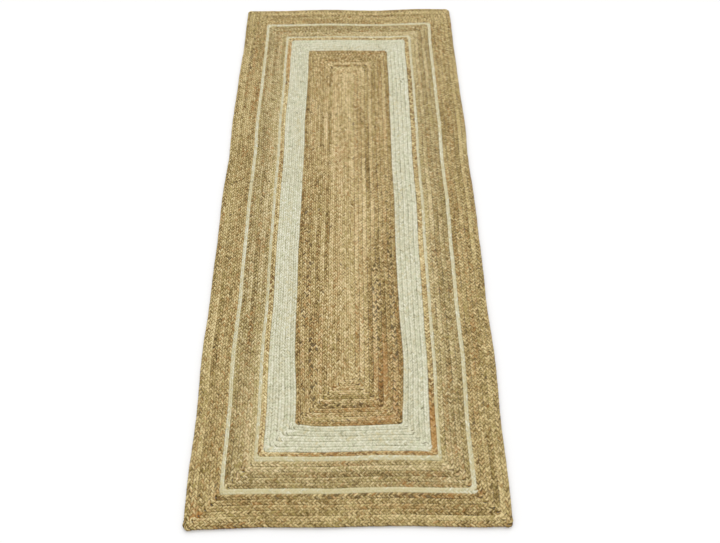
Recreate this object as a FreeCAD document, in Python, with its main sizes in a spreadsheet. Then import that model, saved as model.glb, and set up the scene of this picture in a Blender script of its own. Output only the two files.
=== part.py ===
import FreeCAD, Part
import math
import os
import Sketcher

# Braided jute runner.  A straight braid lies in the middle and thirty rounds
# of the same flat braid are laid about it.  Each round is one length of braid
# whose two ends meet at a join in its left-hand side, and it is sewn to the
# round inside it by a thread that lies in the seam.  The rounds are bleached,
# golden or natural, so they show as bands.  Long side along Y, width along X,
# underside at Z 0, origin under the middle of the rug.

NODE_FOLDER = "parts"

# One line per driving size: name, millimetres, what it is.
SIZES = (
    ("core_length", 924.0, "length of the straight braid in the middle"),
    ("braid_width", 9.4, "width of every braid"),
    ("braid_thickness", 7.0, "height of every braid, and so of the rug"),
    ("edge_round", 2.4, "rounding along the long edges of a braid"),
    ("seam_gap", 0.6, "room between two braids, filled by the seam thread"),
    ("thread_height", 1.8, "height of the flattened seam thread"),
    ("corner_radius", 14.0, "outer corner radius of every round"),
    ("core_corner", 4.0, "corner radius of the straight middle braid"),
    ("join_gap", 0.5, "room between the two ends of a round"),
    ("join_inset", 21.0, "first joins, measured back from the end of the core"),
    ("join_step", 122.0, "how far a round's join is moved on from the last one"),
)

# From the middle out: name of the band and how many rounds it has.
BANDS = (
    ("field", 11),
    ("cream", 5),
    ("golden", 1),
    ("inner_line", 1),
    ("middle", 5),
    ("outer_line", 1),
    ("border", 6),
)

# Joins move down the side over this many rounds, and then start again.
JOIN_CYCLE = 4

PITCH = "(sizes.braid_width + sizes.seam_gap)"


def size_sheet(doc):
    """The driving sizes, as plain numbers in named cells."""
    sheet = doc.addObject("Spreadsheet::Sheet", "sizes")
    for row, (name, value, meaning) in enumerate(SIZES, start=1):
        sheet.set("A%d" % row, name)
        sheet.set("B%d" % row, repr(value))
        sheet.set("C%d" % row, meaning)
        sheet.setAlias("B%d" % row, name)
    doc.recompute()
    return sheet


def wall_outside(number):
    """Outer wall of a round: length, width and corner radius, as expressions.

    Round 0 is the straight braid in the middle.
    """
    grown = "2 * %d * %s" % (number, PITCH)
    corner = "sizes.corner_radius" if number else "sizes.core_corner"
    return ("sizes.core_length + " + grown, "sizes.braid_width + " + grown, corner)


def wall_inside(number):
    """Inner wall of a round: the next outer wall in, grown by the seam."""
    length, width, corner = wall_outside(number - 1)
    return (
        length + " + 2 * sizes.seam_gap",
        width + " + 2 * sizes.seam_gap",
        corner + " + sizes.seam_gap",
    )


def join_place(number):
    """Middle of a round's join, across and along the rug, as expressions."""
    across = "-%d * %s" % (number, PITCH)
    moved = (number - 1) % JOIN_CYCLE
    along = "sizes.core_length / 2 - sizes.join_inset - %d * sizes.join_step" % moved
    return across, along


def value_now(sheet, expression):
    """The value that an expression has now, to draw a sketch at its size."""
    return sheet.evalExpression(expression.replace("sizes.", ""))


def new_sketch(body, name):
    """A sketch on the body's own ground plane."""
    sketch = body.newObject("Sketcher::SketchObject", name)
    ground = [item for item in body.Origin.OriginFeatures if item.Role == "XY_Plane"]
    sketch.AttachmentSupport = [(ground[0], "")]
    sketch.MapMode = "FlatFace"
    return sketch


def name_size(sketch, constraint, name, expression):
    """Adds a size to a sketch, names it and ties it to the sheet."""
    index = sketch.addConstraint(constraint)
    sketch.renameConstraint(index, name)
    sketch.setExpression("Constraints." + name, expression)


def add_loop(sketch, sheet, prefix, wall):
    """A rounded rectangle about the origin, held by three named sizes."""
    length, width, corner = (value_now(sheet, expression) for expression in wall)
    reach_x = width / 2.0 - corner
    reach_y = length / 2.0 - corner
    quarter = math.pi / 2.0
    up = FreeCAD.Vector(0, 0, 1)
    first = sketch.GeometryCount

    # Four corners, anticlockwise from the right-hand far one, then four sides.
    signs = ((1, 1), (-1, 1), (-1, -1), (1, -1))
    arcs = []
    for turn, (side_x, side_y) in enumerate(signs):
        centre = FreeCAD.Vector(side_x * reach_x, side_y * reach_y, 0)
        circle = Part.Circle(centre, up, corner)
        arcs.append(Part.ArcOfCircle(circle, turn * quarter, (turn + 1) * quarter))
    sketch.addGeometry(arcs, False)
    for turn in range(4):
        side = Part.LineSegment(arcs[turn].EndPoint, arcs[(turn + 1) % 4].StartPoint)
        sketch.addGeometry(side, False)

    begin, finish, middle = 1, 2, 3
    for turn in range(4):
        arc = first + turn
        side = first + 4 + turn
        next_arc = first + (turn + 1) % 4
        sketch.addConstraint(Sketcher.Constraint("Tangent", arc, finish, side, begin))
        sketch.addConstraint(Sketcher.Constraint("Tangent", side, finish, next_arc, begin))
        lies = "Vertical" if turn % 2 else "Horizontal"
        sketch.addConstraint(Sketcher.Constraint(lies, side))
        if turn:
            sketch.addConstraint(Sketcher.Constraint("Equal", first, arc))
    # The two opposite corner centres stand evenly about the origin.
    evenly = Sketcher.Constraint("Symmetric", first, middle, first + 2, middle, -1, 1)
    sketch.addConstraint(evenly)

    far, left, near, right = range(first + 4, first + 8)
    sizes = (
        ("length", Sketcher.Constraint("DistanceY", near, begin, far, begin, length)),
        ("width", Sketcher.Constraint("DistanceX", left, begin, right, begin, width)),
        ("corner", Sketcher.Constraint("Radius", first, corner)),
    )
    for (name, constraint), expression in zip(sizes, wall):
        name_size(sketch, constraint, prefix + "_" + name, expression)


def add_pad(body, sheet, name, walls, height, lift=None):
    """A flat ring, or a flat strip, of the given height."""
    sketch = new_sketch(body, name + "_outline")
    if lift:
        sketch.setExpression("AttachmentOffset.Base.z", lift)
    for prefix, wall in walls:
        add_loop(sketch, sheet, prefix, wall)
    pad = body.newObject("PartDesign::Pad", name + "_height")
    pad.Profile = sketch
    pad.setExpression("Length", height)
    return pad


def round_long_edges(doc, body, pad, name):
    """Rounds off the edges of the braid's top and underside."""
    doc.recompute()
    flat = [
        "Face%d" % index
        for index, face in enumerate(pad.Shape.Faces, start=1)
        if abs(face.normalAt(0, 0).z) > 0.99
    ]
    rounding = body.newObject("PartDesign::Fillet", name + "_rounding")
    rounding.Base = (pad, flat)
    rounding.setExpression("Radius", "sizes.edge_round")


def part_ends(doc, sheet, body, name, number):
    """Opens the round at its join, where its two ends are butted."""
    doc.recompute()
    closed_volume = body.Shape.Volume
    across, along = join_place(number)
    sketch = new_sketch(body, name + "_join")
    sketch.setExpression("AttachmentOffset.Base.x", across)
    sketch.setExpression("AttachmentOffset.Base.y", along)
    half_x = value_now(sheet, PITCH) / 2.0
    half_y = value_now(sheet, "sizes.join_gap") / 2.0
    corners = [
        FreeCAD.Vector(side_x * half_x, side_y * half_y, 0)
        for side_x, side_y in ((1, 1), (-1, 1), (-1, -1), (1, -1))
    ]
    for turn in range(4):
        line = Part.LineSegment(corners[turn], corners[(turn + 1) % 4])
        sketch.addGeometry(line, False)
    for turn in range(4):
        sketch.addConstraint(Sketcher.Constraint("Coincident", turn, 2, (turn + 1) % 4, 1))
        lies = "Vertical" if turn % 2 else "Horizontal"
        sketch.addConstraint(Sketcher.Constraint(lies, turn))
    sketch.addConstraint(Sketcher.Constraint("Symmetric", 0, 1, 2, 1, -1, 1))
    across_size = Sketcher.Constraint("DistanceX", 0, 2, 0, 1, 2 * half_x)
    along_size = Sketcher.Constraint("DistanceY", 1, 2, 1, 1, 2 * half_y)
    name_size(sketch, across_size, "across", PITCH)
    name_size(sketch, along_size, "gap", "sizes.join_gap")
    cut = body.newObject("PartDesign::Pocket", name + "_opening")
    cut.Profile = sketch
    cut.Reversed = True
    cut.setExpression("Length", "sizes.braid_thickness")
    doc.recompute()
    if body.Shape.Volume >= closed_volume:
        raise RuntimeError(name + " was not opened at its join")


def new_body(doc, name):
    body = doc.addObject("PartDesign::Body", name)
    body.Label = name
    body.Placement = FreeCAD.Placement()
    return body


def braid(doc, sheet, name, number):
    """One braid: the straight one in the middle, or a round with its join."""
    body = new_body(doc, name)
    walls = [("outside", wall_outside(number))]
    if number:
        walls.append(("inside", wall_inside(number)))
    pad = add_pad(body, sheet, name, walls, "sizes.braid_thickness")
    round_long_edges(doc, body, pad, name)
    if number:
        part_ends(doc, sheet, body, name, number)
    return body


def seam_threads(doc, sheet, name, first, last):
    """The threads that sew rounds first to last, each to the round inside it."""
    body = new_body(doc, name)
    body.AllowCompound = True
    lift = "(sizes.braid_thickness - sizes.thread_height) / 2"
    for number in range(first, last + 1):
        walls = (("outside", wall_inside(number)), ("inside", wall_outside(number - 1)))
        piece = "%s_%02d" % (name, number)
        add_pad(body, sheet, piece, walls, "sizes.thread_height", lift)
    return body


def build_rug(doc):
    """Every braid and every group of threads, from the middle out."""
    sheet = size_sheet(doc)
    pieces = [braid(doc, sheet, "core_braid", 0)]
    number = 0
    for band, rounds in BANDS:
        first = number + 1
        for count in range(1, rounds + 1):
            number += 1
            name = band + "_braid" if rounds == 1 else "%s_braid_%02d" % (band, count)
            pieces.append(braid(doc, sheet, name, number))
        pieces.append(seam_threads(doc, sheet, band + "_seam_thread", first, number))
    doc.recompute()
    return pieces


def check_document(doc, pieces):
    for item in doc.Objects:
        if "Invalid" in item.State or "Error" in item.State:
            raise RuntimeError("%s failed: %s" % (item.Name, item.State))
    for piece in pieces:
        if piece.Shape.isNull() or not piece.Shape.isValid():
            raise RuntimeError(piece.Label + " is not a valid solid")


def write_pieces(pieces):
    os.makedirs(NODE_FOLDER, exist_ok=True)
    for piece in pieces:
        piece.Shape.exportStep(os.path.join(NODE_FOLDER, piece.Label + ".step"))
    solids = sum(len(piece.Shape.Solids) for piece in pieces)
    print("pieces %d, solids %d" % (len(pieces), solids))


document = FreeCAD.newDocument("braided_runner")
rug_pieces = build_rug(document)
check_document(document, rug_pieces)
write_pieces(rug_pieces)
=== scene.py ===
import math

import bpy
import numpy as np
from mathutils import Matrix, Vector


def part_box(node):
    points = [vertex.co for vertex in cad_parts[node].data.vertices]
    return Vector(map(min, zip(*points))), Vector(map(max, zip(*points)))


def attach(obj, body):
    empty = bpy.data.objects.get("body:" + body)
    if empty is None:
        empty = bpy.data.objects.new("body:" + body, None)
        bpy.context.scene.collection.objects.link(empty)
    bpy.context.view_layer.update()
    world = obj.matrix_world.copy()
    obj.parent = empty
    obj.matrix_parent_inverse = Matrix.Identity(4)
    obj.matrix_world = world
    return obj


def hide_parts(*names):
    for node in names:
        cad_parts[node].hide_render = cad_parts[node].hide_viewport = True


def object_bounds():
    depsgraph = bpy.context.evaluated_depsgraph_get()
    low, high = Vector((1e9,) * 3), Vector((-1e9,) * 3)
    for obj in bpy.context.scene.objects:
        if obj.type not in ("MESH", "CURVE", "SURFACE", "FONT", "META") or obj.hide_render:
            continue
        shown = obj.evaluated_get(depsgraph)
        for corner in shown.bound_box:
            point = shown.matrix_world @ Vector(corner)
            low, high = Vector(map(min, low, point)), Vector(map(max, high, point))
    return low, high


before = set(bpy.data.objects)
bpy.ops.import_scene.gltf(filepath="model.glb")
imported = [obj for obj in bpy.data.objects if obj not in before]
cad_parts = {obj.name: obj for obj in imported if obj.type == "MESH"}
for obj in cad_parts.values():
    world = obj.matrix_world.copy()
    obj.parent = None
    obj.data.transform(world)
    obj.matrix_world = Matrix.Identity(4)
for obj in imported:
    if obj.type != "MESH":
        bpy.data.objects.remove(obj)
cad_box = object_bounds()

# Braided jute runner.  Every round is plaited here from three strands, each with
# the outline of two yarns side by side, and has a zigzag of thread in its seam.
# Lengths are in metres.

MM = 0.001
SEED = 4127

# ---------------------------------------------------------------- the design

# From the middle out: band, rounds, kind of jute, kind of thread.
BANDS = (
    ("field", 11, "field_jute", "natural_thread"),
    ("cream", 5, "cream_jute", "cream_thread"),
    ("golden", 1, "golden_jute", "natural_thread"),
    ("inner_line", 1, "cream_jute", "cream_thread"),
    ("middle", 5, "middle_jute", "natural_thread"),
    ("outer_line", 1, "cream_jute", "cream_thread"),
    ("border", 6, "border_jute", "natural_thread"),
)

ROUNDS = sum(band[1] for band in BANDS)

# The two thin off-white lines, a warmer white than the wide band.
LINE_ROUNDS = (18, 24)

# How far a braid strays inwards at the start and at the end of its lap.
STRAYS = {17: (0.5 * MM, 3.4 * MM), 18: (-1.6 * MM, 1.6 * MM)}
STRAY_REACH = 10 * MM
USUAL_STRAY = 0.5 * MM

# Joins: how far the first lies from the core's end, and how far each moves on.
JOIN_INSET = 21 * MM
JOIN_STEP = 122 * MM
JOIN_CYCLE = 4
JOIN_GAP = 0.5 * MM

# The plait.  A strand swings from side to side once in each repeat.
REPEAT = {"cream_jute": 22.8 * MM, "golden_jute": 24.0 * MM}
USUAL_REPEAT = 25.6 * MM
EDGE_REPEAT = 31.0 * MM
STRANDS = 3
HALF_THICK = 1.7 * MM
HALF_WIDE = {"cream_jute": 3.25 * MM}
USUAL_HALF_WIDE = 2.85 * MM
FLATNESS = {"cream_jute": 0.7}
USUAL_FLATNESS = 0.85
LEAN = math.radians(114)
EARLY_RISE = 0.25
SQUARENESS = -0.02
PRESS = {"cream_jute": 0.5 * MM}
USUAL_PRESS = 0.55 * MM
LINE_PRESS = 0.95 * MM
STEP = 1.8 * MM
REPEAT_SPREAD = 0.04
PHASE_WANDER = 0.7
DRIFT = 0.32 * MM
SPREAD_WANDER = 0.02
RISE_WANDER = 0.05
PLUMPNESS = 0.07

# Each end of a braid thins out over this length, down to this share.
TAPER_LENGTH = 3 * MM
TAPER_END = 0.62

# Painted shade on a strand: how much darker it is down in a crevice, beside a seam
# (below 0 it is painted light there instead), and in the creases at its own edges and middle.
CREVICE_FROM = 2.45 * MM
CREVICE_FADE = 1.0 * MM
CREVICE_PAINTED_SHADE = 3.8
SEAM_FROM = 3.9 * MM
SEAM_FADE = 1.4 * MM
SEAM_PAINTED_SHADING = {"cream_jute": 0.3}
USUAL_SEAM_PAINTED_SHADING = -0.4
EDGE_CREASE_SHADE = 4.0
MIDDLE_CREASE_SHADE = 1.4

# Tone and warmth from leaf to leaf, and from strand to strand of one braid.
BASE_TONE = 2.12
SHARED_LEAF_TONE = 0.3
OWN_LEAF_TONE = 0.6
LEAF_WARMTH = 1.0
FLECK_SHARPNESS = 6
STRAND_TONE = 0.35
STRAND_WARMTH = 0.8

# Corners: the line's own radius, and how the plait opens and swells round them.
CORNER_RADIUS = 7.0 * MM
CORNER_SPREAD = 0.52
CORNER_SWELL = 0.2
CORNER_REACH = 5.5 * MM
GROUND_CLEARANCE = 0.06 * MM

# Girth of a strand's outline, as a share of its two half sizes.
OUTLINE_GIRTH = 2.6

# Where a braid is plaited thicker: round, x, y, reach, extra share of its width.
THICKER = (
    (24, 0.245, -0.68, 0.05, 0.3),
    (24, -0.245, -0.40, 0.10, 0.12),
)

# How the dark flecks are shared among a braid's three strands.
FLECK_SHARES = (2.3, 0.35, 0.35)

# Outline of a strand, across its width and thickness: two yarns side by side.
STRAND_OUTLINE = (
    (0.0, 0.56), (0.30, 0.97), (0.74, 0.88), (1.0, 0.0), (0.74, -0.88), (0.30, -0.97),
    (0.0, -0.56), (-0.30, -0.97), (-0.74, -0.88), (-1.0, 0.0), (-0.74, 0.88), (-0.30, 0.97),
)

# Sewing thread, seen in the grooves of the underside.
THREAD_RADIUS = 0.42 * MM
THREAD_SIDES = 6
THREAD_STEP = 2.6 * MM
THREAD_HEIGHT = 1.35 * MM
STITCH = 17.0 * MM
STITCH_REACH = 1.9 * MM
STITCH_WANDER = 0.5
STITCH_DIP = 0.7 * MM
STITCH_SHARPNESS = 0.96

# How far each band's outer edge stands out from its even place, in mm, band by band.
LET_OUT_LEFT = (0.0, 1.6, 2.2, -1.8, 1.2, -1.4, 0.0)
LET_OUT_RIGHT = (-5.0, -1.2, 0.4, -3.4, -0.4, -2.6, 0.0)
LET_OUT_FAR = (1.0, -0.7, 1.0, -4.6, -4.2, -6.0, 0.0)
LET_OUT_NEAR = (-5.0, -1.8, -3.4, -4.0, -1.0, -1.0, 0.0)

# Places where the sewing pulled the rounds about: x, y, reach in x and y, pull in mm.
PULLS = (
    (0.115, -0.42, 0.025, 0.09, 4.5, 0.0),
    (-0.115, -0.53, 0.035, 0.13, 9.0, 0.0),
    (-0.115, -0.565, 0.035, 0.03, 1.0, 5.0),
    (0.115, -0.565, 0.03, 0.03, -1.5, 3.0),
)

# How far the long sides bow out at mid-length, and how much less at the ends.
BOW_LEFT = 6.0 * MM
BOW_RIGHT = 4.5 * MM
BOW_LESS = 1.5 * MM
NEAR_BOW = 3.0 * MM
FAR_WAVE = 1.6 * MM
RIPPLE_LIFT = 0.45 * MM

core_low, core_high = (np.array(corner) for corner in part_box("core_braid"))
first_low, first_high = (np.array(corner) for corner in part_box("field_braid_01"))
braid_width, core_length, braid_thickness = core_high - core_low
pitch = (first_high[0] - first_low[0] - braid_width) / 2
rug_half_x, rug_half_y = cad_box[1][:2]


# -------------------------------------------------------------- shader maths

class Wire:
    """A shader socket that can be added, multiplied and so on."""

    def __init__(self, graph, socket):
        self.graph = graph
        self.socket = socket

    def __add__(self, other):
        return self.graph.maths("ADD", self, other)

    def __radd__(self, other):
        return self.graph.maths("ADD", other, self)

    def __sub__(self, other):
        return self.graph.maths("SUBTRACT", self, other)

    def __rsub__(self, other):
        return self.graph.maths("SUBTRACT", other, self)

    def __mul__(self, other):
        return self.graph.maths("MULTIPLY", self, other)

    def __rmul__(self, other):
        return self.graph.maths("MULTIPLY", other, self)

    def clamped(self):
        return self.graph.maths("MAXIMUM", self.graph.maths("MINIMUM", self, 1.0), 0.0)


class Graph:
    """The nodes of one material."""

    def __init__(self, name):
        self.material = bpy.data.materials.new(name)
        self.material.use_nodes = True
        self.tree = self.material.node_tree
        self.tree.nodes.clear()

    def add(self, kind, settings=None, values=None, output=0):
        """Adds a node: its settings first, then the values or links of its sockets."""
        node = self.tree.nodes.new("ShaderNode" + kind)
        for name, value in (settings or {}).items():
            if name == "stops":
                self.set_stops(node.color_ramp, value)
            else:
                setattr(node, name, value)
        for name, value in (values or {}).items():
            if isinstance(value, Wire):
                self.tree.links.new(value.socket, node.inputs[name])
            else:
                node.inputs[name].default_value = value
        if node.outputs:
            return Wire(self, node.outputs[output])
        return None

    def set_stops(self, ramp, stops):
        while len(ramp.elements) < len(stops):
            ramp.elements.new(1.0)
        for element, (place, colour) in zip(ramp.elements, stops):
            element.position = place
            element.color = colour

    def maths(self, operation, first, second):
        return self.add("Math", {"operation": operation}, {0: first, 1: second})

    def noise(self, vector, scale=1.0, detail=0.0):
        values = {"Vector": vector, "Scale": scale, "Detail": detail}
        return self.add("TexNoise", {"noise_dimensions": "3D"}, values)

    def combine(self, x, y, z):
        return self.add("CombineXYZ", None, {"X": x, "Y": y, "Z": z})

    def split(self, vector):
        node = self.add("SeparateXYZ", None, {"Vector": vector}).socket.node
        return [Wire(self, node.outputs[axis]) for axis in "XYZ"]

    def read(self, attribute):
        return self.add("Attribute", {"attribute_name": attribute}, None, "Vector")

    def mix(self, share, first, second):
        settings = {"data_type": "RGBA", "blend_type": "MIX"}
        return self.add("Mix", settings, {0: share, 6: first, 7: second}, 2)

    def finish(self, surface):
        self.add("OutputMaterial", None, {"Surface": surface})
        return self.material


def dye(red, green, blue):
    """A colour as a dyer's card gives it, 0 to 255, made linear for the shader."""
    linear = []
    for part in (red, green, blue):
        part /= 255
        linear.append(part / 12.92 if part <= 0.04045 else ((part + 0.055) / 1.055) ** 2.4)
    return (*linear, 1.0)


# How fine the grain of yarn and fibre is, along and across, in patches per metre.
YARN_ALONG = 150
YARN_ACROSS = 420
FIBRE_ALONG = 160
FIBRE_ACROSS = 1900
FIBRE_SLANT = 0.42

# What tone, yarn and fibre each add to the shade of the jute.
TONE_WEIGHT = 0.16
YARN_WEIGHT = 1.4
FIBRE_WEIGHT = 0.8
YARN_WARMTH = 3.0


def jute(name, shades, warm, fresh, fleck, contrast):
    """Plaited jute: leaves of differing tone, fine fibres, warm stretches and flecks."""
    graph = Graph(name)
    along, thick, wide = graph.split(graph.read("fibre"))
    # The tone carries painted shade in crevices, creases and beside seams, and painted light
    # towards the far end, on top of the jute's own tone.
    tone, warmth, slub = graph.split(graph.read("shade"))

    vector = graph.combine(along * YARN_ALONG, thick * YARN_ACROSS, wide * YARN_ACROSS)
    yarn = graph.noise(vector, detail=1.0)
    # Fibres run at a slant to the yarn because it is twisted.
    down = along + wide * FIBRE_SLANT
    across = wide - along * FIBRE_SLANT
    vector = graph.combine(down * FIBRE_ALONG, thick * FIBRE_ACROSS, across * FIBRE_ACROSS)
    fibre = graph.noise(vector, detail=2.0)

    light = tone * TONE_WEIGHT + (yarn - 0.5) * YARN_WEIGHT + (fibre - 0.5) * FIBRE_WEIGHT
    light = light * contrast + 0.5
    stops = [(index / 3, shade) for index, shade in enumerate(shades)]
    colour = graph.add("ValToRGB", {"stops": stops}, {"Fac": light.clamped()})
    warmth = warmth + (yarn - 0.5) * YARN_WARMTH
    colour = graph.mix((warmth * 0.3 - 0.15).clamped() * 0.7, colour, warm)
    colour = graph.mix((warmth * -0.3 - 0.15).clamped() * 0.7, colour, fresh)
    fleck_share = (slub * (1.3 - fibre)).clamped() * 0.9
    colour = graph.mix(fleck_share, colour, fleck)

    rough = 0.74 + fibre * 0.2
    height = fibre * 0.6 + yarn * 0.4
    bump = graph.add("Bump", None, {"Strength": 0.55, "Distance": 0.3 * MM, "Height": height})
    surface = graph.add("BsdfPrincipled", None, {
        "Base Color": colour,
        "Roughness": rough,
        "Normal": bump,
        "Specular IOR Level": 0.22,
        "Sheen Weight": 0.12,
        "Sheen Roughness": 0.55,
    })
    return graph.finish(surface)


def sewing_thread(name, shadow, light):
    """Two-ply thread: slanting plies, with painted shade (the shadow colour) and painted light (the
    light colour) mixed along them.
    """
    graph = Graph(name)
    along, thick, wide = graph.split(graph.read("fibre"))
    slant = graph.combine((along + wide * 1.4) * 900, thick * 700, (wide - along * 0.5) * 1400)
    ply = graph.noise(slant, detail=1.0)
    colour = graph.mix(((ply - 0.3) * 2.2).clamped(), shadow, light)
    bump = graph.add("Bump", None, {"Strength": 0.6, "Distance": 0.15 * MM, "Height": ply})
    surface = graph.add("BsdfPrincipled", None, {
        "Base Color": colour,
        "Roughness": 0.7 + ply * 0.2,
        "Normal": bump,
        "Specular IOR Level": 0.25,
    })
    return graph.finish(surface)


def make_finishes():
    charcoal = dye(62, 44, 24)
    earth = dye(84, 64, 34)
    russet = dye(178, 124, 60)
    fresh = dye(178, 160, 92)
    field = (dye(80, 54, 20), dye(154, 128, 74), dye(206, 182, 124), dye(240, 222, 176))
    middle = (dye(88, 68, 34), dye(158, 136, 84), dye(202, 184, 132), dye(236, 220, 176))
    border = (dye(78, 56, 20), dye(147, 123, 69), dye(193, 170, 114), dye(232, 214, 162))
    golden = (dye(96, 62, 22), dye(188, 162, 104), dye(230, 212, 158), dye(246, 234, 190))
    cream = (dye(122, 116, 80), dye(200, 196, 164), dye(226, 223, 197), dye(243, 241, 226))
    return {
        "field_jute": jute("field_jute", field, russet, fresh, charcoal, 1.05),
        "middle_jute": jute("middle_jute", middle, russet, fresh, earth, 1.0),
        "border_jute": jute("border_jute", border, russet, fresh, earth, 1.1),
        "golden_jute": jute("golden_jute", golden, dye(186, 134, 68), fresh, dye(112, 74, 30), 1.1),
        "cream_jute": jute("cream_jute", cream, dye(208, 194, 140), dye(204, 208, 170),
                           dye(92, 84, 50), 0.8),
        "natural_thread": sewing_thread(
            "natural_thread", dye(140, 116, 72), dye(196, 176, 130)),
        "cream_thread": sewing_thread(
            "cream_thread", dye(190, 186, 164), dye(228, 226, 212)),
    }


# ------------------------------------------------------------ lines to follow

class Lap:
    """The line that one round follows, from its join, anticlockwise, and back."""

    def __init__(self, half_x, half_y, corner, join_y):
        run_x = half_x - corner
        run_y = half_y - corner
        bend = math.pi / 2 * corner
        self.pieces = []
        self.length = 0.0
        self.corners = []
        # Start of each stretch, its heading in quarter turns, its length, its radius.
        self._stretch(-half_x, join_y - JOIN_GAP / 2, 3, join_y - JOIN_GAP / 2 + run_y, 0)
        self._stretch(-half_x, -run_y, 3, bend, corner)
        self._stretch(-run_x, -half_y, 0, 2 * run_x, 0)
        self._stretch(run_x, -half_y, 0, bend, corner)
        self._stretch(half_x, -run_y, 1, 2 * run_y, 0)
        self._stretch(half_x, run_y, 1, bend, corner)
        self._stretch(run_x, half_y, 2, 2 * run_x, 0)
        self._stretch(-run_x, half_y, 2, bend, corner)
        self._stretch(-half_x, run_y, 3, run_y - join_y - JOIN_GAP / 2, 0)

    def _stretch(self, x, y, quarter, length, radius):
        self.pieces.append((self.length, x, y, quarter * math.pi / 2, length, radius))
        if radius:
            self.corners.append(self.length + length / 2)
        self.length += length

    def at(self, run):
        """Places and headings at distances along the line."""
        x = np.zeros_like(run)
        y = np.zeros_like(run)
        heading = np.zeros_like(run)
        for start, from_x, from_y, turn, length, radius in self.pieces:
            here = run >= start - 1e-9
            gone = run[here] - start
            if radius:
                angle = gone / radius
                forward = radius * np.sin(angle)
                leftward = radius * (1 - np.cos(angle))
            else:
                angle = 0 * gone
                forward = gone
                leftward = 0 * gone
            x[here] = from_x + forward * math.cos(turn) - leftward * math.sin(turn)
            y[here] = from_y + forward * math.sin(turn) + leftward * math.cos(turn)
            heading[here] = turn + angle
        return x, y, heading

    def nearness(self, run, reach):
        """1 in the middle of a corner, falling to 0 away from it."""
        near = np.zeros_like(run)
        for middle in self.corners:
            near = np.maximum(near, np.exp(-((run - middle) / reach) ** 2))
        return near


class Straight:
    """The line of the braid in the middle, from its far end to its near end."""

    def __init__(self, half_y):
        self.half_y = half_y
        self.length = 2 * half_y

    def at(self, run):
        return 0 * run, self.half_y - run, 0 * run - math.pi / 2

    def nearness(self, run, reach):
        return 0 * run


def ripple(rng, run, shortest, longest, waves=5):
    """A smooth random rise and fall, about -1 to 1."""
    total = np.zeros_like(run)
    for _ in range(waves):
        wave = rng.uniform(shortest, longest)
        total += np.sin(2 * math.pi * run / wave + rng.uniform(0, 2 * math.pi))
    return total / math.sqrt(waves)


# ---------------------------------------------------- how the whole rug lies

def let_out(out, edges):
    """How far the edges of the bands stand out from where even rounds would put them."""
    levels = [0.0]
    moves = [0.0]
    rounds = 0
    for band, move in zip(BANDS, edges):
        rounds += band[1]
        levels.append((rounds + 0.5) * pitch)
        moves.append(move * MM)
    return np.interp(out, levels, moves)


def settle(points):
    """Moves points as the hand-sewn rug lies: uneven bands, bowed sides, slight waves."""
    x, y, z = points[..., 0], points[..., 1], points[..., 2]
    side = np.clip(x / rug_half_x, -1.1, 1.1)
    end = np.clip(y / rug_half_y, -1.1, 1.1)
    past_core = np.abs(y) - (core_length - braid_width) / 2
    bulge = np.where(side < 0, BOW_LEFT, BOW_RIGHT) * (1 - np.abs(end) ** 3) - BOW_LESS
    wave_x = 1.1 * MM * np.sin(2 * math.pi * y / 0.37 + 0.6 + 2.0 * side)
    wave_x += 0.8 * MM * np.sin(2 * math.pi * y / 0.23 + 2.1 - 1.5 * side)
    shift_x = np.sign(side) * np.abs(side) ** 1.4 * bulge + wave_x * (0.3 + 0.7 * np.abs(side))
    shift_x += np.where(x < 0, -let_out(-x, LET_OUT_LEFT), let_out(x, LET_OUT_RIGHT))
    near_pull = NEAR_BOW * np.cos(0.5 * math.pi * side) * np.clip(-end, 0, 1) ** 3
    far_wave = FAR_WAVE * np.sin(2 * math.pi * side * 0.9 + 3.4) * np.clip(end, 0, 1) ** 3
    shift_y = near_pull + far_wave
    shift_y += 0.9 * MM * np.sin(2 * math.pi * x / 0.27 + 1.1 + 1.7 * end)
    far_out = let_out(past_core, LET_OUT_FAR)
    near_out = let_out(past_core, LET_OUT_NEAR)
    shift_y += np.where(y > 0, far_out, -near_out)
    for at_x, at_y, reach_x, reach_y, pull_x, pull_y in PULLS:
        share = np.exp(-((x - at_x) / reach_x) ** 2 - ((y - at_y) / reach_y) ** 2)
        shift_x = shift_x + pull_x * MM * share
        shift_y = shift_y + pull_y * MM * share
    lift = 0.5 + 0.5 * np.sin(2 * math.pi * x / 0.41 + 0.4) * np.sin(2 * math.pi * y / 0.53 + 1.9)
    lift += 0.5 + 0.5 * np.sin(2 * math.pi * (x + 0.4 * y) / 0.22)
    settled = np.empty_like(points)
    settled[..., 0] = x + shift_x
    settled[..., 1] = y + shift_y
    settled[..., 2] = z + RIPPLE_LIFT * lift
    return settled


# ------------------------------------------------------------------- meshes

def tube_faces(tubes, rings, sides):
    """Corner indices and face starts of several open tubes with capped ends."""
    ring = np.arange(rings - 1)[:, None]
    side = np.arange(sides)[None, :]
    after = (side + 1) % sides
    quads = np.stack([
        ring * sides + side,
        ring * sides + after,
        (ring + 1) * sides + after,
        (ring + 1) * sides + side,
    ], axis=-1).reshape(-1, 4)
    first_cap = np.arange(sides)[::-1]
    last_cap = (rings - 1) * sides + np.arange(sides)
    corners = []
    counts = []
    for tube in range(tubes):
        offset = tube * rings * sides
        corners += [quads.ravel() + offset, first_cap + offset, last_cap + offset]
        counts += [np.full(len(quads), 4), np.array([sides, sides])]
    return np.concatenate(corners), np.concatenate(counts)


# The flat layout: room beside each strip, and the small round places of the caps.
STRIP_MARGIN = 0.06
STRIP_SHARE = 0.88
LAYOUT_SIZE = (0.985, 0.975)
LAYOUT_START = (0.005, 0.0)
CAP_START = 0.03
CAP_STEP = 0.04
CAP_HEIGHT = 0.988
CAP_RADIUS = 0.006


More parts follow.
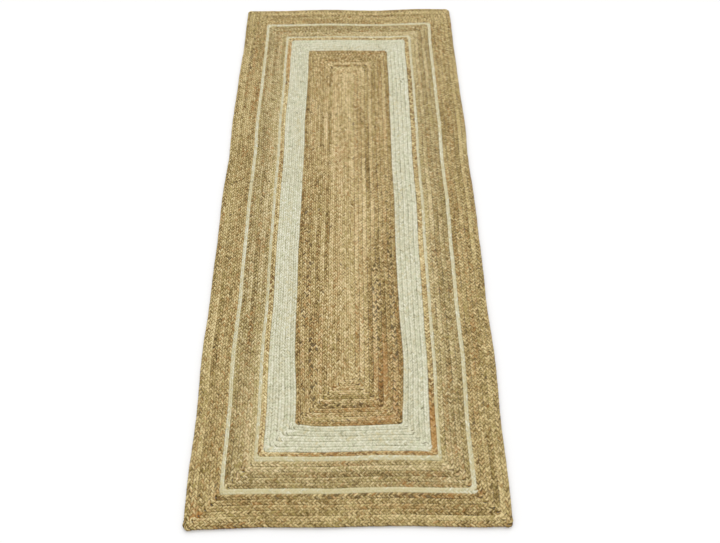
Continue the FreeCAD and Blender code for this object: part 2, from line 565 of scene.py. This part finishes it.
def tube_map(tubes, rings, sides, run, girth):
    """A flat layout of the tubes' surface: strips side by side in a square."""
    length = run[-1]
    strips = max(1, round(math.sqrt(tubes * length / girth)))
    strip_length = tubes * length / strips
    places = []
    cap_turn = np.arange(sides) / sides * 2 * math.pi
    for tube in range(tubes):
        begun = tube * length + run
        strip = np.floor(begun[:-1] / strip_length).clip(0, strips - 1)[:, None]
        left = begun[:-1, None] / strip_length - strip
        right = begun[1:, None] / strip_length - strip
        lower = (strip + STRIP_MARGIN + STRIP_SHARE * np.arange(sides)[None, :] / sides) / strips
        after = np.arange(1, sides + 1)[None, :]
        upper = (strip + STRIP_MARGIN + STRIP_SHARE * after / sides) / strips
        blank = 0 * lower
        quads = np.stack([
            np.stack([left + blank, lower], -1),
            np.stack([left + blank, upper], -1),
            np.stack([right + blank, upper], -1),
            np.stack([right + blank, lower], -1),
        ], axis=2).reshape(-1, 2) * LAYOUT_SIZE + LAYOUT_START
        places.append(quads)
        for end in range(2):
            middle = np.array([CAP_START + CAP_STEP * (2 * tube + end), CAP_HEIGHT])
            circle = np.stack([np.cos(cap_turn), np.sin(cap_turn)], -1) * CAP_RADIUS
            places.append(middle + circle)
    return np.concatenate(places)


def make_mesh(name, points, fibre, shade, corners, counts, layout):
    mesh = bpy.data.meshes.new(name)
    mesh.vertices.add(len(points))
    mesh.vertices.foreach_set("co", points.astype(np.float32).ravel())
    mesh.loops.add(len(corners))
    mesh.loops.foreach_set("vertex_index", corners.astype(np.int32))
    mesh.polygons.add(len(counts))
    starts = np.concatenate([[0], np.cumsum(counts)[:-1]])
    mesh.polygons.foreach_set("loop_start", starts.astype(np.int32))
    mesh.polygons.foreach_set("use_smooth", np.ones(len(counts), bool))
    mesh.update(calc_edges=True)
    for label, values in (("fibre", fibre), ("shade", shade)):
        attribute = mesh.attributes.new(label, "FLOAT_VECTOR", "POINT")
        attribute.data.foreach_set("vector", values.astype(np.float32).ravel())
    uv_map = mesh.uv_layers.new(name="OFBake")
    uv_map.data.foreach_set("uv", layout.astype(np.float32).ravel())
    return mesh


def unit(vectors):
    return vectors / np.linalg.norm(vectors, axis=-1, keepdims=True)


def frames_along(lap, run):
    """Places, and the leftward and upward directions, along a line."""
    x, y, heading = lap.at(run)
    zero = 0 * run
    leftward = np.stack([-np.sin(heading), np.cos(heading), zero], -1)
    upward = np.stack([zero, zero, zero + 1], -1)
    return np.stack([x, y, zero], -1), leftward, upward


def leaf_tones(rng, turn, shades):
    """Tone, warmth and flecks of a strand's two yarns, changing from leaf to leaf."""
    leaf = np.floor(turn / math.pi).astype(int)
    leaf -= leaf.min()
    leaves = leaf.max() + 1
    looks = np.zeros((len(turn), 2, 3))
    shared = rng.normal(0, SHARED_LEAF_TONE, leaves)
    for yarn in range(2):
        own = shared + rng.normal(0, OWN_LEAF_TONE, leaves)
        looks[:, yarn, 0] = own[leaf] + shades[:, 0] + BASE_TONE
        looks[:, yarn, 1] = rng.normal(0, LEAF_WARMTH, leaves)[leaf] + shades[:, 1]
        chance = rng.random(leaves)[leaf]
        looks[:, yarn, 2] = np.clip((shades[:, 2] - chance) * FLECK_SHARPNESS, 0, 1)
    return looks


def patches(places, number, x, y):
    """What the patches on this round add up to along it."""
    total = 0 * x
    for round_number, at_x, at_y, reach, strength in places:
        if round_number == number:
            total = total + strength * np.exp(-(np.hypot(x - at_x, y - at_y) / reach) ** 2)
    return total


def plait(name, lap, kind, number, moods):
    """The three strands of one braid as one mesh."""
    rng = np.random.default_rng(SEED + number)
    rings = max(4, round(lap.length / STEP)) + 1
    run = np.linspace(0, lap.length, rings)
    place, leftward, upward = frames_along(lap, run)
    corner = lap.nearness(run, CORNER_REACH)
    taper = np.clip(np.minimum(run, lap.length - run) / TAPER_LENGTH, 0, 1)
    taper = TAPER_END + (1 - TAPER_END) * np.sqrt(taper)

    repeat = EDGE_REPEAT if number == ROUNDS else REPEAT.get(kind, USUAL_REPEAT)
    repeat *= 1 + rng.uniform(-REPEAT_SPREAD, REPEAT_SPREAD)
    phase = 2 * math.pi * run / repeat + PHASE_WANDER * ripple(rng, run, 0.12, 0.45)
    phase += rng.uniform(0, 2 * math.pi)
    drift = DRIFT * ripple(rng, run, 0.03, 0.16)
    at_start, at_end = STRAYS.get(number, (-USUAL_STRAY, USUAL_STRAY))
    drift += at_start * np.exp(-(run / STRAY_REACH) ** 2)
    drift += at_end * np.exp(-((lap.length - run) / STRAY_REACH) ** 2)
    spread = (1 + CORNER_SPREAD * corner) * (1 + SPREAD_WANDER * ripple(rng, run, 0.03, 0.12))
    spread = spread * (1 + patches(THICKER, number, *lap.at(run)[:2]))
    press = LINE_PRESS if number in LINE_ROUNDS else PRESS.get(kind, USUAL_PRESS)
    swing = (pitch / 2 + press - HALF_THICK) * spread * taper / (1 - SQUARENESS)
    rise = (braid_thickness / 2 - HALF_THICK) * FLATNESS.get(kind, USUAL_FLATNESS)
    rise = rise * (1 + RISE_WANDER * ripple(rng, run, 0.02, 0.09))

    shades = moods(rng, run, *lap.at(run)[:2])
    outline = np.array(STRAND_OUTLINE)
    # Painted shade in the creases at a strand's edges and in the groove between its two yarns,
    # weighted by how far the strand leans.
    crease_shade = EDGE_CREASE_SHADE * np.abs(outline[:, 0]) ** 3
    crease_shade += MIDDLE_CREASE_SHADE * (outline[:, 0] == 0)
    second_yarn = (outline[:, 0] < 0).astype(int)
    points = []
    fibres = []
    looks = []
    for strand in range(STRANDS):
        turn = phase + 2 * math.pi * strand / STRANDS
        aside = swing * (np.sin(turn) + SQUARENESS * np.sin(3 * turn)) + drift
        above = rise * (np.sin(2 * turn) + EARLY_RISE * np.sin(4 * turn))
        middle = place + aside[:, None] * leftward + above[:, None] * upward
        tangent = unit(np.gradient(middle, run, axis=0))
        lean = LEAN * np.cos(turn)
        thin = np.cos(lean)[:, None] * leftward + np.sin(lean)[:, None] * upward
        thin = unit(thin - (thin * tangent).sum(-1, keepdims=True) * tangent)
        wide = np.cross(tangent, thin)
        plump = 1 + PLUMPNESS * ripple(rng, run, 0.012, 0.05)
        swell = (1 + CORNER_SWELL * corner) * taper
        half_thick = (HALF_THICK * swell)[:, None]
        half_wide = HALF_WIDE.get(kind, USUAL_HALF_WIDE) * swell * plump
        across = outline[:, 0] * half_wide[:, None]
        through = outline[:, 1] * half_thick
        ring = middle[:, None, :] + across[..., None] * wide[:, None, :]
        ring += through[..., None] * thin[:, None, :]
        points.append(ring)
        own_place = rng.uniform(0, 8, 3)
        along = np.broadcast_to(run[:, None], across.shape)
        fibres.append(np.stack([along, through, across], -1) + own_place)
        own_shades = shades.copy()
        own_shades[:, 0] += STRAND_TONE * ripple(rng, run, 0.1, 0.5)
        own_shades[:, 1] += STRAND_WARMTH * ripple(rng, run, 0.15, 0.6)
        own_shades[:, 2] *= FLECK_SHARES[strand]
        look = leaf_tones(rng, turn, own_shades)[:, second_yarn, :]
        wide_aside = (wide * leftward).sum(-1, keepdims=True)
        thin_aside = (thin * leftward).sum(-1, keepdims=True)
        # Painted shade: a strand is made darker where it lies down in a crevice between leaves and
        # rounds.
        crevice_shade_share = np.clip((CREVICE_FROM - np.abs(ring[..., 2])) / CREVICE_FADE, 0, 1)
        # Painted shading beside a seam: darker where its value is above 0, lighter where it is
        # below 0.
        centred = aside[:, None] - drift[:, None]
        beside = np.abs(centred + across * wide_aside + through * thin_aside)
        seam_shading_share = np.clip((beside - SEAM_FROM) / SEAM_FADE, 0, 1)
        look[..., 0] -= crease_shade * np.sin(lean)[:, None] ** 2
        look[..., 0] -= CREVICE_PAINTED_SHADE * crevice_shade_share + SEAM_PAINTED_SHADING.get(kind, USUAL_SEAM_PAINTED_SHADING) * seam_shading_share
        looks.append(look)
    points = np.stack(points)
    points[..., 2] += braid_thickness / 2
    points[..., 2] = np.maximum(points[..., 2], GROUND_CLEARANCE)
    points = settle(points)

    sides = len(outline)
    corners, counts = tube_faces(STRANDS, rings, sides)
    girth = OUTLINE_GIRTH * (HALF_THICK + USUAL_HALF_WIDE)
    layout = tube_map(STRANDS, rings, sides, run, girth)
    return make_mesh(
        name, points.reshape(-1, 3), np.stack(fibres).reshape(-1, 3),
        np.stack(looks).reshape(-1, 3), corners, counts, layout)


def stitches(name, laps, number):
    """Zigzags of thread, one along every seam of a band, as one mesh."""
    rng = np.random.default_rng(SEED + 500 + number)
    all_points, all_fibres, all_corners, all_counts, all_places = [], [], [], [], []
    begun = 0
    turn = np.arange(THREAD_SIDES) / THREAD_SIDES * 2 * math.pi
    for row, lap in enumerate(laps):
        rings = max(4, round(lap.length / THREAD_STEP)) + 1
        run = np.linspace(0, lap.length, rings)
        place, leftward, upward = frames_along(lap, run)
        beat = 2 * math.pi * run / STITCH + STITCH_WANDER * ripple(rng, run, 0.1, 0.4)
        aside = STITCH_REACH * np.arcsin(STITCH_SHARPNESS * np.sin(beat)) / (math.pi / 2)
        above = THREAD_HEIGHT + STITCH_DIP * np.cos(2 * beat + math.pi)
        middle = place + aside[:, None] * leftward + above[:, None] * upward
        tangent = unit(np.gradient(middle, run, axis=0))
        sideways = unit(np.cross(upward, tangent))
        over = np.cross(tangent, sideways)
        across = THREAD_RADIUS * np.cos(turn)[None, :] + 0 * run[:, None]
        through = THREAD_RADIUS * np.sin(turn)[None, :] + 0 * run[:, None]
        ring = middle[:, None, :] + across[..., None] * sideways[:, None, :]
        ring += through[..., None] * over[:, None, :]
        ring[..., 2] = np.maximum(ring[..., 2], GROUND_CLEARANCE)
        all_points.append(settle(ring).reshape(-1, 3))
        along = np.broadcast_to(run[:, None], across.shape)
        fibre = np.stack([along, through, across], -1) + rng.uniform(0, 8, 3)
        all_fibres.append(fibre.reshape(-1, 3))
        corners, counts = tube_faces(1, rings, THREAD_SIDES)
        all_corners.append(corners + begun)
        all_counts.append(counts)
        begun += rings * THREAD_SIDES
        layout = tube_map(1, rings, THREAD_SIDES, run, 8 * THREAD_RADIUS)
        all_places.append(layout * (1, 1 / len(laps)) + (0, row / len(laps)))
    points = np.concatenate(all_points)
    return make_mesh(
        name, points, np.concatenate(all_fibres), 0 * points,
        np.concatenate(all_corners), np.concatenate(all_counts),
        np.concatenate(all_places))


# --------------------------------------------------- colour along each round

# Slow changes along a round, how far whole rounds differ, and the painted light that
# makes the far end lighter than the middle.
TONE_RIPPLE = 0.45
ROUND_TONE = 0.9
WARMTH_RIPPLE = 0.4
ROUND_WARMTH = 0.6
FLECKS = 0.03
FAR_PAINTED_LIGHT = 0.2

# The bleached jute is more even; its two thin lines are lighter and warmer.
CREAM_TONE = 0.4
CREAM_WARMTH = 0.5
CREAM_FLECKS = 0.1
LINE_TONE = 1.2
LINE_WARMTH = 2.2

# Where the jute of a round is flecked: round, x, y, reach, share of dark leaves.
FLECKED = (
    (7, 0.07, -0.30, 0.18, 0.2),
    (7, 0.06, -0.50, 0.07, 0.22),
    (7, -0.03, -0.52, 0.06, 0.2),
    (6, 0.06, -0.28, 0.10, 0.3),
    (10, 0.10, -0.25, 0.30, 0.25),
    (9, -0.09, -0.20, 0.10, 0.2),
    (8, -0.08, -0.40, 0.08, 0.35),
    (25, 0.05, -0.70, 0.20, 0.3),
    (28, -0.28, 0.60, 0.10, 0.3),
    (17, 0.17, 0.35, 0.30, 0.3),
    (17, 0.17, -0.50, 0.12, 0.2),
    (17, 0.05, -0.62, 0.16, 0.15),
    (17, -0.17, -0.25, 0.05, 0.4),
    (17, -0.165, 0.437, 0.006, 0.9),
    (13, -0.127, -0.574, 0.0035, 0.9),
    (13, -0.125, -0.438, 0.0035, 0.6),
)

# Where it is warmer, almost orange: round, x, y, reach, warmth.
WARMED = (
    (28, -0.28, -0.735, 0.02, 3.0),
    (29, -0.285, -0.735, 0.02, 3.0),
    (17, -0.17, 0.55, 0.10, 3.0),
    (17, 0.05, -0.62, 0.20, 2.2),
    (17, 0.17, -0.56, 0.06, 3.0),
    (17, 0.17, 0.20, 0.35, 0.8),
    (18, 0.0, -0.64, 0.18, 1.5),
    (24, 0.0, -0.70, 0.24, 2.2),
    (8, 0.0, -0.53, 0.08, 1.5),
    (7, 0.06, -0.46, 0.07, 3.0),
    (8, 0.08, -0.44, 0.08, 2.5),
    (11, 0.11, -0.40, 0.10, 1.6),
    (11, 0.02, -0.55, 0.12, 1.4),
    (6, 0.06, -0.45, 0.10, 2.0),
    (10, 0.08, -0.56, 0.07, 2.0),
)


def moods_of(number, kind):
    """Tone, warmth and chance of flecks along one round."""
    def moods(rng, run, x, y):
        tone = TONE_RIPPLE * ripple(rng, run, 0.25, 1.1) + rng.uniform(-ROUND_TONE, ROUND_TONE)
        warmth = WARMTH_RIPPLE * ripple(rng, run, 0.2, 0.9)
        warmth += rng.uniform(-ROUND_WARMTH, ROUND_WARMTH)
        slub = FLECKS + FLECKS * ripple(rng, run, 0.08, 0.4)
        if kind == "cream_jute":
            lined = number in LINE_ROUNDS
            tone = CREAM_TONE * tone + LINE_TONE * lined
            warmth = CREAM_WARMTH * warmth + LINE_WARMTH * lined
            slub = CREAM_FLECKS * slub
        # Painted light: the tone rises towards the far end and falls towards the near end.
        tone = tone + FAR_PAINTED_LIGHT * y / rug_half_y
        warmth = warmth + patches(WARMED, number, x, y)
        return np.stack([tone, warmth, slub + patches(FLECKED, number, x, y)], -1)
    return moods


# ------------------------------------------------------------------- the rug

def add_piece(name, mesh, node, finish_name, finishes):
    piece = bpy.data.objects.new(name, mesh)
    bpy.context.scene.collection.objects.link(piece)
    mesh.materials.append(finishes[finish_name])
    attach(piece, "root")
    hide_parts(node)


def line_at(rounds_out, number):
    """The line so many rounds out from the middle, with the join of round number."""
    half_x = rounds_out * pitch
    half_y = core_length / 2 - braid_width / 2 + rounds_out * pitch
    moved = (number - 1) % JOIN_CYCLE
    join_y = core_length / 2 - JOIN_INSET - moved * JOIN_STEP
    return Lap(half_x, half_y, min(CORNER_RADIUS, 0.8 * half_x), join_y)


def make_rug(finishes):
    core_line = Straight(core_length / 2)
    core = plait("core_plait", core_line, "field_jute", 0, moods_of(0, "field_jute"))
    add_piece("core_plait", core, "core_braid", "field_jute", finishes)
    number = 0
    for band, rounds, kind, thread in BANDS:
        first = number + 1
        for count in range(1, rounds + 1):
            number += 1
            node = band + "_braid" if rounds == 1 else "%s_braid_%02d" % (band, count)
            name = node.replace("_braid", "_plait")
            mesh = plait(name, line_at(number, number), kind, number, moods_of(number, kind))
            add_piece(name, mesh, node, kind, finishes)
        laps = [line_at(row - 0.5, row) for row in range(first, number + 1)]
        name = band + "_stitches"
        add_piece(name, stitches(name, laps, first), band + "_seam_thread", thread, finishes)


# -------------------------------------------------------------------- studio

FLOOR_HALF = 6.0
SKY_STRENGTH = 0.815
LAMP_SPREAD = 50
CAMERA_PLACE = (0.0244, -1.0738, 1.3244)
CAMERA_TILT = math.radians(33.62)
CAMERA_YAW = math.radians(-0.62)
CAMERA_ROLL = math.radians(0.28)
CAMERA_LENS = 34.6


def make_floor():
    corners = [(x * FLOOR_HALF, y * FLOOR_HALF, 0) for x, y in ((-1, -1), (1, -1), (1, 1), (-1, 1))]
    mesh = bpy.data.meshes.new("floor")
    mesh.from_pydata(corners, [], [(0, 1, 2, 3)])
    floor = bpy.data.objects.new("floor", mesh)
    bpy.context.scene.collection.objects.link(floor)
    graph = Graph("floor_paper")
    surface = graph.add("BsdfPrincipled", None, {
        "Base Color": (0.97, 0.97, 0.97, 1.0),
        "Roughness": 0.9,
        "Specular IOR Level": 0.1,
    })
    mesh.materials.append(graph.finish(surface))


def add_lamp(name, aim, strength, colour):
    """A very broad, soft light from far off, shining along aim."""
    lamp = bpy.data.lights.new(name, "SUN")
    lamp.angle = math.radians(LAMP_SPREAD)
    lamp.energy = strength
    lamp.color = colour
    holder = bpy.data.objects.new(name, lamp)
    holder.location = (-aim[0], -aim[1], -aim[2])
    holder.rotation_euler = Vector(aim).to_track_quat("-Z", "Y").to_euler()
    bpy.context.scene.collection.objects.link(holder)


def make_studio():
    scene = bpy.context.scene
    scene.view_settings.view_transform = "Standard"
    world = bpy.data.worlds.new("studio")
    world.use_nodes = True
    background = world.node_tree.nodes["Background"]
    background.inputs["Color"].default_value = (1.0, 1.0, 1.0, 1.0)
    background.inputs["Strength"].default_value = SKY_STRENGTH
    scene.world = world
    add_lamp("far_softbox", (-0.4, -1.3, -1.8), 0.75, (1.0, 0.99, 0.975))
    add_lamp("side_softbox", (1.6, -0.5, -1.3), 0.25, (0.97, 0.985, 1.0))


def make_camera():
    camera = bpy.data.cameras.new("camera")
    camera.sensor_width = 36
    camera.lens = CAMERA_LENS
    holder = bpy.data.objects.new("camera", camera)
    turned = Matrix.Rotation(CAMERA_YAW, 4, "Z") @ Matrix.Rotation(CAMERA_TILT, 4, "X")
    turned = turned @ Matrix.Rotation(CAMERA_ROLL, 4, "Y")
    holder.matrix_world = Matrix.Translation(CAMERA_PLACE) @ turned
    bpy.context.scene.collection.objects.link(holder)
    bpy.context.scene.camera = holder


make_rug(make_finishes())
make_floor()
make_studio()
make_camera()
